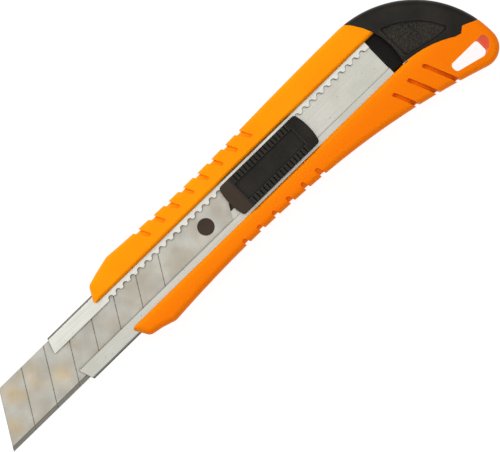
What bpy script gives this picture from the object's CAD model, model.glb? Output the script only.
import bpy
import math
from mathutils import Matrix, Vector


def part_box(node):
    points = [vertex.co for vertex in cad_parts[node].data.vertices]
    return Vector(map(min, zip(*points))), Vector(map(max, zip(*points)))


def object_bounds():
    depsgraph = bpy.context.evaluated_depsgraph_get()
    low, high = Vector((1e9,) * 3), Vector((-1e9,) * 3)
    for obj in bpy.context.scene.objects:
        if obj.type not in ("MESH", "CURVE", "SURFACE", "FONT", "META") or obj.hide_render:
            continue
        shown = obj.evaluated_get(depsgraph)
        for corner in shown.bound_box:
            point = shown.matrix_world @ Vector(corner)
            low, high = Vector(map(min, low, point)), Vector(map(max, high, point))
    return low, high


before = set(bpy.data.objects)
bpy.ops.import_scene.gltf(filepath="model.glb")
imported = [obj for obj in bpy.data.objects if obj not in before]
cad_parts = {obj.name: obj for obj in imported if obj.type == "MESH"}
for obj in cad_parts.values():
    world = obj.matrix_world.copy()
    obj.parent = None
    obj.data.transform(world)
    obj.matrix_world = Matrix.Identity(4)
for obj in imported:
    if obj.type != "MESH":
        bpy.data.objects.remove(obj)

scene = bpy.context.scene
cad_low, cad_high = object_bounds()

# ---------------------------------------------------------------- camera, floor and light
# The knife lies on its back on a white sweep. A long lens looks straight down on it, turned so that the
# blade points to the lower left. A large soft box hangs overhead and a stronger one stands on the spine
# side, and everything lower is darker, so that the bent and cut edges of the steel draw dark lines.

turn = math.radians(-44.3)
view_across = 0.1618
view_height = 1.1
view_centre = (-0.0133, -0.00976)
floor_gap = 0.0002
floor_half = 3.0
blade_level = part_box("blade")[1].z

camera_data = bpy.data.cameras.new("camera")
camera_data.sensor_width = 36.0
camera_data.lens = camera_data.sensor_width * view_height / view_across
camera_data.clip_end = 20.0
camera = bpy.data.objects.new("camera", camera_data)
camera.location = (*view_centre, blade_level + view_height)
camera.rotation_euler = (0.0, 0.0, turn)
scene.collection.objects.link(camera)
scene.camera = camera

scene.view_settings.view_transform = "Standard"

floor_mesh = bpy.data.meshes.new("floor")
floor_corners = [(-floor_half, -floor_half, 0), (floor_half, -floor_half, 0),
                 (floor_half, floor_half, 0), (-floor_half, floor_half, 0)]
floor_mesh.from_pydata(floor_corners, [], [(0, 1, 2, 3)])
floor = bpy.data.objects.new("floor", floor_mesh)
floor.location.z = cad_low.z - floor_gap
scene.collection.objects.link(floor)

paper = bpy.data.materials.new("white_sweep")
paper.use_nodes = True
paper_skin = paper.node_tree.nodes["Principled BSDF"]
paper_skin.inputs["Base Color"].default_value = (0.14, 0.14, 0.14, 1)
paper_skin.inputs["Roughness"].default_value = 0.9
paper_skin.inputs["Emission Color"].default_value = (1.0, 1.0, 1.0, 1)
paper_skin.inputs["Emission Strength"].default_value = 0.92
floor_mesh.materials.append(paper)


def place(tree, kind, inputs=None, **settings):
    """Add a node, set it up, and join or fill its inputs."""
    node = tree.nodes.new("ShaderNode" + kind)
    for name, value in settings.items():
        setattr(node, name, value)
    for name, value in (inputs or {}).items():
        if isinstance(value, bpy.types.NodeSocket):
            tree.links.new(value, node.inputs[name])
        else:
            node.inputs[name].default_value = value
    return node


def calc(tree, operation, *values):
    """One sum on numbers or sockets. An operation that ends in _CLAMPED stays between 0 and 1."""
    clamped = operation.endswith("_CLAMPED")
    node = place(tree, "Math", dict(enumerate(values)), operation=operation.replace("_CLAMPED", ""),
                 use_clamp=clamped)
    return node.outputs[0]


def ramp(tree, value, low, high, start=0.0, stop=1.0):
    """Map a value that runs from low to high to one that runs from start to stop, and hold the ends."""
    node = place(tree, "MapRange", {"Value": value, "From Min": low, "From Max": high,
                                    "To Min": start, "To Max": stop})
    return node.outputs["Result"]


world = bpy.data.worlds.new("studio")
world.use_nodes = True
sky = world.node_tree
direction = place(sky, "TexCoord").outputs["Generated"]
height = place(sky, "SeparateXYZ", {"Vector": direction}).outputs["Z"]
glow = ramp(sky, height, 0.0, 0.9, 0.12, 0.5)
seen = place(sky, "LightPath").outputs["Is Camera Ray"]
strength = calc(sky, "MAXIMUM", glow, calc(sky, "MULTIPLY", seen, 0.95))
backdrop = sky.nodes["Background"]
backdrop.inputs["Color"].default_value = (1.0, 1.0, 1.0, 1)
sky.links.new(strength, backdrop.inputs["Strength"])
scene.world = world


def soft_box(name, place_at, aim, size, watts, mirrored=True):
    """A square soft box at place_at that faces aim, and that polished faces mirror or not."""
    light = bpy.data.lights.new(name, "AREA")
    light.shape = "SQUARE"
    light.size = size
    light.energy = watts
    lamp = bpy.data.objects.new(name, light)
    lamp.location = place_at
    lamp.visible_glossy = mirrored
    towards = Vector(aim) - Vector(place_at)
    lamp.rotation_euler = towards.to_track_quat("-Z", "Y").to_euler()
    scene.collection.objects.link(lamp)


soft_box("overhead_light", (0.0, 0.28, 1.5), (0, 0, 0), 0.9, 2.6)
soft_box("key_light", (-0.15, 0.8, 0.75), (0, 0, 0), 0.6, 8.4, mirrored=False)
soft_box("fill_light", (0.4, -0.8, 0.8), (0, 0, 0), 0.8, 2.2, mirrored=False)


# ---------------------------------------------------------------- casing
# The handle is one ABS moulding, dyed orange right through, with a fine spark-eroded skin. Its corners
# are rubbed a little paler, its grooves glow red, and the pocket behind the guide gets no light.

def new_group(name, inputs, outputs):
    """A shader node group with number inputs and number outputs."""
    group = bpy.data.node_groups.new(name, "ShaderNodeTree")
    for title, value in inputs.items():
        socket = group.interface.new_socket(title, in_out="INPUT", socket_type="NodeSocketFloat")
        socket.default_value = value
    for title in outputs:
        group.interface.new_socket(title, in_out="OUTPUT", socket_type="NodeSocketFloat")
    entry = group.nodes.new("NodeGroupInput")
    leaving = group.nodes.new("NodeGroupOutput")
    return group, entry, leaving


def use_group(tree, group, **values):
    """Add a node group to a material, with its inputs named with underscores for spaces."""
    node = tree.nodes.new("ShaderNodeGroup")
    node.node_tree = group
    for title, value in values.items():
        node.inputs[title.replace("_", " ")].default_value = value
    return node


# Edge: 1 on a corner or a cut edge, within the radius, and 0 on the flat.
edge_group, entry, leaving = new_group("edge_find", {"Radius": 0.0003, "Gain": 3.0}, ["Edge"])
bevelled = place(edge_group, "Bevel", {"Radius": entry.outputs["Radius"]}, samples=8)
true_face = place(edge_group, "NewGeometry")
along = place(edge_group, "VectorMath", {0: bevelled.outputs["Normal"], 1: true_face.outputs["Normal"]},
              operation="DOT_PRODUCT")
off = calc(edge_group, "SUBTRACT", 1.0, along.outputs["Value"])
edge = calc(edge_group, "MULTIPLY_CLAMPED", off, entry.outputs["Gain"])
edge_group.links.new(edge, leaving.inputs["Edge"])

# Depth: 1 deep in a groove or corner that is narrower than the reach, and 0 in the open.
crevice_group, entry, leaving = new_group("crevice", {"Reach": 0.002}, ["Depth"])
open_sky = place(crevice_group, "AmbientOcclusion", {"Distance": entry.outputs["Reach"]}, samples=8)
crevice_group.links.new(calc(crevice_group, "SUBTRACT", 1.0, open_sky.outputs["AO"]),
                        leaving.inputs["Depth"])

# Skin: the height of a spark-eroded mould's texture. Cloud: soft blotches, some 15 mm across.
skin_group, entry, leaving = new_group("moulded_skin", {"Grain": 2600.0, "Cloud size": 60.0},
                                       ["Skin", "Cloud"])
spot = place(skin_group, "TexCoord").outputs["Object"]
pores = place(skin_group, "TexNoise", {"Vector": spot, "Scale": entry.outputs["Grain"], "Detail": 2.0,
                                       "Roughness": 0.6})
clouds = place(skin_group, "TexNoise", {"Vector": spot, "Scale": entry.outputs["Cloud size"],
                                        "Detail": 3.0})
skin_group.links.new(pores.outputs["Fac"], leaving.inputs["Skin"])
skin_group.links.new(ramp(skin_group, clouds.outputs["Fac"], 0.35, 0.65), leaving.inputs["Cloud"])

# Lines: a brushed or rolled streak pattern. Scratch: a few thin dark or bright hairlines. Both run at
# the given angle to the handle's length.
line_group, entry, leaving = new_group(
    "hairlines", {"Angle": 0.0, "Along": 60.0, "Across": 5000.0, "Rarity": 0.66}, ["Lines", "Scratch"])
spot = place(line_group, "TexCoord").outputs["Object"]
turned = place(line_group, "VectorRotate", {"Vector": spot, "Angle": entry.outputs["Angle"]},
               rotation_type="Z_AXIS").outputs["Vector"]
stretch = place(line_group, "CombineXYZ", {"X": entry.outputs["Along"], "Y": entry.outputs["Across"],
                                           "Z": entry.outputs["Across"]}).outputs["Vector"]
drawn = place(line_group, "VectorMath", {0: turned, 1: stretch}, operation="MULTIPLY").outputs[0]
fine = place(line_group, "TexNoise", {"Vector": drawn, "Scale": 1.0, "Detail": 3.0})
wide = place(line_group, "TexNoise", {"Vector": drawn, "Scale": 0.31, "Detail": 1.0})
line_group.links.new(fine.outputs["Fac"], leaving.inputs["Lines"])
rare = calc(line_group, "SUBTRACT", wide.outputs["Fac"], entry.outputs["Rarity"])
line_group.links.new(calc(line_group, "MULTIPLY_CLAMPED", rare, 12.0), leaving.inputs["Scratch"])


def blend_colour(tree, share, first, second):
    """The first colour at share 0, and the second at share 1."""
    node = place(tree, "Mix", {0: share, 6: first, 7: second}, data_type="RGBA")
    return node.outputs[2]


def new_material(name, roughness, specular=0.5):
    """A fresh material, its node tree and its Principled BSDF, which the sections call finish."""
    material = bpy.data.materials.new(name)
    material.use_nodes = True
    finish = material.node_tree.nodes["Principled BSDF"]
    finish.inputs["Roughness"].default_value = roughness
    finish.inputs["Specular IOR Level"].default_value = specular
    return material, material.node_tree, finish


def bump(tree, finish, height, strength, depth):
    """Raise the surface by a height between 0 and 1, at most depth metres."""
    node = place(tree, "Bump", {"Height": height, "Strength": strength, "Distance": depth})
    tree.links.new(node.outputs["Normal"], finish.inputs["Normal"])


def wear(node_name, material):
    """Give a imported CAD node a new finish."""
    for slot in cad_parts[node_name].material_slots:
        slot.material = material


guide_low, guide_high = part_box("blade_guide")
hole_rear = 0.0785      # from here on, the pale wall of the lanyard hole
pocket_play = 0.0005

orange, tree, finish = new_material("orange_abs", 0.4, 0.06)
skin_noise = use_group(tree, skin_group, Grain=2400.0, Cloud_size=55.0)
corners = use_group(tree, edge_group, Radius=0.0005, Gain=2.5)
grooves = use_group(tree, crevice_group, Reach=0.0022)
scuffs = use_group(tree, line_group, Angle=0.35, Along=70.0, Across=2600.0, Rarity=0.68)
place_on = place(tree, "SeparateXYZ", {"Vector": place(tree, "TexCoord").outputs["Object"]})
spine_share = calc(tree, "ADD", ramp(tree, place_on.outputs["Y"], -0.0112, -0.0062, 0.0, 0.62),
                   ramp(tree, place_on.outputs["Y"], 0.0, 0.008, 0.0, 0.38))
dye = blend_colour(tree, spine_share, (1.0, 0.205, 0.0, 1), (1.0, 0.315, 0.0, 1))
uneven = blend_colour(tree, calc(tree, "MULTIPLY", skin_noise.outputs["Cloud"], 0.3), dye,
                      (1.0, 0.215, 0.0, 1))
rubbed = blend_colour(tree, calc(tree, "MULTIPLY", corners.outputs["Edge"], 0.35), uneven,
                      (1.0, 0.42, 0.01, 1))
scratched = blend_colour(tree, calc(tree, "MULTIPLY", scuffs.outputs["Scratch"], 0.16), rubbed,
                         (1.0, 0.42, 0.02, 1))
deep = ramp(tree, grooves.outputs["Depth"], 0.22, 0.8, 0.0, 0.9)
ember = blend_colour(tree, ramp(tree, place_on.outputs["Y"], -0.019, -0.0125), (0.5, 0.0, 0.0, 1),
                     (0.95, 0.15, 0.0, 1))
pale = blend_colour(tree, ramp(tree, place_on.outputs["X"], hole_rear, hole_rear + 0.001), ember,
                    (1.0, 0.45, 0.36, 1))
glowing = blend_colour(tree, deep, scratched, pale)
behind = calc(tree, "GREATER_THAN", place_on.outputs["X"], guide_high.x - 0.0003)
between = calc(tree, "LESS_THAN", calc(tree, "ABSOLUTE", place_on.outputs["Y"]), guide_high.y)
above = calc(tree, "GREATER_THAN", place_on.outputs["Z"], guide_low.z - pocket_play)
below = calc(tree, "LESS_THAN", place_on.outputs["Z"], guide_high.z + pocket_play)
in_pocket = calc(tree, "MULTIPLY", calc(tree, "MULTIPLY", behind, between),
                 calc(tree, "MULTIPLY", above, below))
unlit = calc(tree, "MAXIMUM", ramp(tree, grooves.outputs["Depth"], 0.82, 0.97), in_pocket)
tree.links.new(blend_colour(tree, unlit, glowing, (0.012, 0.003, 0.001, 1)),
               finish.inputs["Base Color"])
tree.links.new(ramp(tree, skin_noise.outputs["Cloud"], 0.0, 1.0, 0.36, 0.46), finish.inputs["Roughness"])
bump(tree, finish, skin_noise.outputs["Skin"], 0.35, 0.00003)
wear("casing", orange)

# ---------------------------------------------------------------- blade guide
# One strip of zinc-plated steel, folded into a channel around the blade and pressed into the casing. The
# plating is cloudy and streaked by rolling, cleaner on the lip at the spine, and dark at bends and cuts.

lip_side = 0.003
lip_skin = 0.0010

zinc, tree, finish = new_material("zinc_plate", 0.28, 0.2)
clouds = use_group(tree, skin_group, Grain=900.0, Cloud_size=110.0)
rolling = use_group(tree, line_group, Angle=0.0, Along=45.0, Across=4200.0, Rarity=0.70)
cut_edges = use_group(tree, edge_group, Radius=0.0004, Gain=6.0)
corners_dark = use_group(tree, crevice_group, Reach=0.0012)
plating = blend_colour(tree, clouds.outputs["Cloud"], (0.43, 0.425, 0.375, 1), (0.57, 0.56, 0.505, 1))
at = place(tree, "SeparateXYZ", {"Vector": place(tree, "TexCoord").outputs["Object"]})
spine_lip = calc(tree, "MULTIPLY", ramp(tree, at.outputs["Y"], lip_side, lip_side + 0.001),
                 ramp(tree, at.outputs["Z"], guide_high.z - lip_skin, guide_high.z - 0.4 * lip_skin))
brighter = blend_colour(tree, calc(tree, "MULTIPLY", spine_lip, 0.75), plating, (0.68, 0.68, 0.63, 1))
streaked = blend_colour(tree, ramp(tree, rolling.outputs["Lines"], 0.3, 0.7, 0.0, 0.4), brighter,
                        (0.36, 0.345, 0.30, 1))
pitted = blend_colour(tree, ramp(tree, clouds.outputs["Skin"], 0.68, 0.76, 0.0, 0.7), streaked,
                      (0.16, 0.15, 0.125, 1))
soiled = blend_colour(tree, ramp(tree, corners_dark.outputs["Depth"], 0.6, 1.0, 0.0, 0.5), pitted,
                      (0.16, 0.15, 0.125, 1))
facing = place(tree, "SeparateXYZ", {"Vector": place(tree, "NewGeometry").outputs["Normal"]})
bent = ramp(tree, calc(tree, "ABSOLUTE", facing.outputs["Z"]), 0.72, 0.97, 1.0, 0.0)
dulled = blend_colour(tree, bent, soiled, (0.11, 0.10, 0.085, 1))
tree.links.new(blend_colour(tree, calc(tree, "MULTIPLY", cut_edges.outputs["Edge"], 0.9), dulled,
                            (0.075, 0.068, 0.056, 1)), finish.inputs["Base Color"])
tree.links.new(calc(tree, "SUBTRACT", 1.0, calc(tree, "MULTIPLY", bent, 0.92)),
               finish.inputs["Metallic"])
sheen = ramp(tree, clouds.outputs["Cloud"], 0.0, 1.0, 0.19, 0.27)
tree.links.new(calc(tree, "MAXIMUM", sheen, calc(tree, "MULTIPLY", bent, 0.75)),
               finish.inputs["Roughness"])
bump(tree, finish, rolling.outputs["Lines"], 0.12, 0.00002)
wear("blade_guide", zinc)

# ---------------------------------------------------------------- blade
# A strip of hardened carbon steel. Tempering leaves it straw-coloured in patches, grinding leaves fine
# slanting lines, and each score line between two segments is dark with scale.

blade_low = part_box("blade")[0]
segment_pitch = 0.010
slant = 0.6
bevel_wide = 0.00135
score_half = 0.00013
last_scored = 7.5
# Each spot of straw colour: its distance from the tip, its place across the blade and its reach.
straw_spots = ((0.0135, 0.0052, 0.0062), (0.0065, -0.0030, 0.0048), (0.0215, 0.0025, 0.0066),
               (0.0290, -0.0018, 0.0062))

steel, tree, finish = new_material("blade_steel", 0.3)
grinding = use_group(tree, line_group, Angle=-0.95, Along=110.0, Across=3600.0, Rarity=0.70)
temper = use_group(tree, skin_group, Grain=1500.0, Cloud_size=150.0)
bluing = use_group(tree, skin_group, Grain=700.0, Cloud_size=120.0)
cut_edges = use_group(tree, edge_group, Radius=0.00018, Gain=3.0)
under_lips = use_group(tree, crevice_group, Reach=0.0013)
spot = place(tree, "TexCoord").outputs["Object"]
at = place(tree, "SeparateXYZ", {"Vector": spot})
flat_spot = place(tree, "CombineXYZ", {"X": at.outputs["X"], "Y": at.outputs["Y"]}).outputs["Vector"]
run = calc(tree, "SUBTRACT", at.outputs["X"],
           calc(tree, "MULTIPLY", calc(tree, "SUBTRACT", at.outputs["Y"], blade_low.y), slant))
segment = calc(tree, "DIVIDE", calc(tree, "SUBTRACT", run, blade_low.x), segment_pitch)
from_score = calc(tree, "ABSOLUTE", calc(tree, "SUBTRACT", segment, calc(tree, "ROUND", segment)))
scored = ramp(tree, from_score, score_half / segment_pitch, 1.6 * score_half / segment_pitch, 1.0, 0.0)
before_tail = calc(tree, "LESS_THAN", segment, last_scored)
ragged = ramp(tree, temper.outputs["Skin"], 0.35, 0.6, 0.35, 0.85)
score_mask = calc(tree, "MULTIPLY", calc(tree, "MULTIPLY", scored, before_tail), ragged)
from_edge = calc(tree, "SUBTRACT", at.outputs["Y"], blade_low.y)
honed = ramp(tree, from_edge, bevel_wide * 0.97, bevel_wide * 1.03, 1.0, 0.0)
honed_line = ramp(tree, calc(tree, "ABSOLUTE", calc(tree, "SUBTRACT", from_edge, bevel_wide)),
                  0.00006, 0.00016, 1.0, 0.0)
straw_share = calc(tree, "MULTIPLY", temper.outputs["Cloud"], 0.15)
for from_tip, across, reach in straw_spots:
    centre = (blade_low.x + from_tip, across, 0.0)
    away = place(tree, "VectorMath", {0: flat_spot, 1: centre}, operation="DISTANCE").outputs["Value"]
    wavy = calc(tree, "ADD", away, ramp(tree, temper.outputs["Cloud"], 0.0, 1.0, 0.0016, -0.0016))
    straw_share = calc(tree, "MAXIMUM", straw_share, ramp(tree, wavy, 0.2 * reach, reach, 0.85, 0.0))
face = blend_colour(tree, straw_share, (0.475, 0.45, 0.385, 1), (0.60, 0.485, 0.315, 1))
cool = blend_colour(tree, ramp(tree, bluing.outputs["Cloud"], 0.45, 1.0, 0.0, 0.6), face,
                    (0.48, 0.485, 0.455, 1))
ground = blend_colour(tree, ramp(tree, grinding.outputs["Lines"], 0.3, 0.7, 0.0, 0.2), cool,
                      (0.36, 0.34, 0.29, 1))
bevelled_face = blend_colour(tree, calc(tree, "MULTIPLY", honed, 0.34), ground, (0.22, 0.205, 0.175, 1))
lined = blend_colour(tree, calc(tree, "MULTIPLY", honed_line, 0.7), bevelled_face,
                     (0.13, 0.12, 0.10, 1))
scaled = blend_colour(tree, score_mask, lined, (0.12, 0.108, 0.088, 1))
edged = blend_colour(tree, calc(tree, "MULTIPLY", cut_edges.outputs["Edge"], 0.6), scaled,
                     (0.16, 0.15, 0.13, 1))
tree.links.new(blend_colour(tree, ramp(tree, under_lips.outputs["Depth"], 0.2, 0.7, 0.0, 0.85), edged,
                            (0.075, 0.068, 0.056, 1)), finish.inputs["Base Color"])
finish.inputs["Metallic"].default_value = 1.0
tree.links.new(ramp(tree, temper.outputs["Cloud"], 0.0, 1.0, 0.27, 0.38), finish.inputs["Roughness"])
bump(tree, finish, grinding.outputs["Lines"], 0.12, 0.00001)
wear("blade", steel)

# ---------------------------------------------------------------- slider
# The carrier under the guide's lips, its peg through the blade's tail hole, and the thumb button are
# black nylon. The thumb has polished the front ramp and the tops of the ribs brown.

button_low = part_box("slide_button")[0]
ramp_long = 0.0045

nylon, tree, finish = new_material("black_nylon", 0.5, 0.15)
pores = use_group(tree, skin_group, Grain=3200.0, Cloud_size=140.0)
corners = use_group(tree, edge_group, Radius=0.0003, Gain=4.0)
hollows = use_group(tree, crevice_group, Reach=0.0012)
place_on = place(tree, "SeparateXYZ", {"Vector": place(tree, "TexCoord").outputs["Object"]})
on_ramp = ramp(tree, place_on.outputs["X"], button_low.x + ramp_long, button_low.x + ramp_long * 1.15,
               0.75, 0.0)
dark = blend_colour(tree, pores.outputs["Cloud"], (0.015, 0.013, 0.0105, 1), (0.026, 0.0225, 0.018, 1))
grained = blend_colour(tree, ramp(tree, pores.outputs["Skin"], 0.55, 0.75, 0.0, 0.6), dark,
                       (0.045, 0.040, 0.032, 1))
polished = blend_colour(tree, on_ramp, grained, (0.066, 0.048, 0.034, 1))
rubbed = blend_colour(tree, calc(tree, "MULTIPLY", corners.outputs["Edge"], 0.7), polished,
                      (0.14, 0.122, 0.098, 1))
tree.links.new(blend_colour(tree, ramp(tree, hollows.outputs["Depth"], 0.12, 0.5, 0.0, 0.95), rubbed,
                            (0.003, 0.0025, 0.002, 1)), finish.inputs["Base Color"])
tree.links.new(ramp(tree, pores.outputs["Skin"], 0.3, 0.7, 0.42, 0.6), finish.inputs["Roughness"])
bump(tree, finish, pores.outputs["Skin"], 0.5, 0.00005)
wear("slide_button", nylon)
wear("slide_carrier", nylon)

# ---------------------------------------------------------------- lock spring
# A strip of bright drawn spring steel, held at its rear end in the button, which hides it. Its bent nose
# drops into the guide's notches.

strip, tree, finish = new_material("spring_strip", 0.25)
drawing = use_group(tree, line_group, Angle=0.0, Along=80.0, Across=6000.0, Rarity=0.7)
tree.links.new(blend_colour(tree, drawing.outputs["Lines"], (0.50, 0.49, 0.46, 1), (0.66, 0.65, 0.61, 1)),
               finish.inputs["Base Color"])
finish.inputs["Metallic"].default_value = 1.0
bump(tree, finish, drawing.outputs["Lines"], 0.15, 0.00001)
wear("lock_spring", strip)

# ---------------------------------------------------------------- end cap
# The pull-out cap is black ABS. A hooked edge and a plug hold it in the casing. Its sunk panel has a
# coarse grain, and the rest is smooth and picks up dust and hand rubbing.

cap_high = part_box("end_cap")[1]
panel_left = cap_high.x - 0.0258
panel_foot = -0.0055
panel_fall = 0.21
panel_centre = (cap_high.x - 0.0339, -0.01863, 0.0)
panel_bow = 0.0265
plug_top = guide_high.z

abs_black, tree, finish = new_material("black_abs", 0.42, 0.17)
fine_skin = use_group(tree, skin_group, Grain=2600.0, Cloud_size=110.0)
coarse_skin = use_group(tree, skin_group, Grain=2100.0, Cloud_size=300.0)
corners = use_group(tree, edge_group, Radius=0.0004, Gain=2.2)
hollows = use_group(tree, crevice_group, Reach=0.0012)
spot = place(tree, "TexCoord").outputs["Object"]
at = place(tree, "SeparateXYZ", {"Vector": spot})
flat_spot = place(tree, "CombineXYZ", {"X": at.outputs["X"], "Y": at.outputs["Y"]}).outputs["Vector"]
from_centre = place(tree, "VectorMath", {0: flat_spot, 1: panel_centre},
                    operation="DISTANCE").outputs["Value"]
in_panel = calc(tree, "MULTIPLY", calc(tree, "LESS_THAN", from_centre, panel_bow),
                calc(tree, "GREATER_THAN", at.outputs["X"], panel_left))
foot_line = calc(tree, "ADD", at.outputs["Y"],
                 calc(tree, "MULTIPLY", calc(tree, "SUBTRACT", at.outputs["X"], panel_left),
                      panel_fall))
panel_mask = calc(tree, "MULTIPLY", in_panel, calc(tree, "GREATER_THAN", foot_line, panel_foot))
grain = place(tree, "Mix", {0: panel_mask, 2: fine_skin.outputs["Skin"],
                            3: coarse_skin.outputs["Skin"]}).outputs[0]
dark = blend_colour(tree, fine_skin.outputs["Cloud"], (0.011, 0.0092, 0.0072, 1),
                    (0.020, 0.017, 0.0135, 1))
sparkled = blend_colour(tree, calc(tree, "MULTIPLY", panel_mask,
                                   ramp(tree, coarse_skin.outputs["Skin"], 0.42, 0.66, 0.0, 0.8)),
                        dark, (0.055, 0.049, 0.040, 1))
rubbed = blend_colour(tree, calc(tree, "MULTIPLY", corners.outputs["Edge"], 0.6), sparkled,
                      (0.095, 0.072, 0.054, 1))
shadowed = blend_colour(tree, ramp(tree, hollows.outputs["Depth"], 0.08, 0.4, 0.0, 0.95), rubbed,
                        (0.004, 0.0032, 0.0026, 1))
on_plug = ramp(tree, at.outputs["Z"], plug_top, plug_top + 0.0004, 0.9, 0.0)
tree.links.new(blend_colour(tree, on_plug, shadowed, (0.003, 0.002, 0.0016, 1)),
               finish.inputs["Base Color"])
tree.links.new(ramp(tree, panel_mask, 0.0, 1.0, 0.42, 0.62), finish.inputs["Roughness"])
bump(tree, finish, grain, 0.55, 0.00006)
wear("end_cap", abs_black)
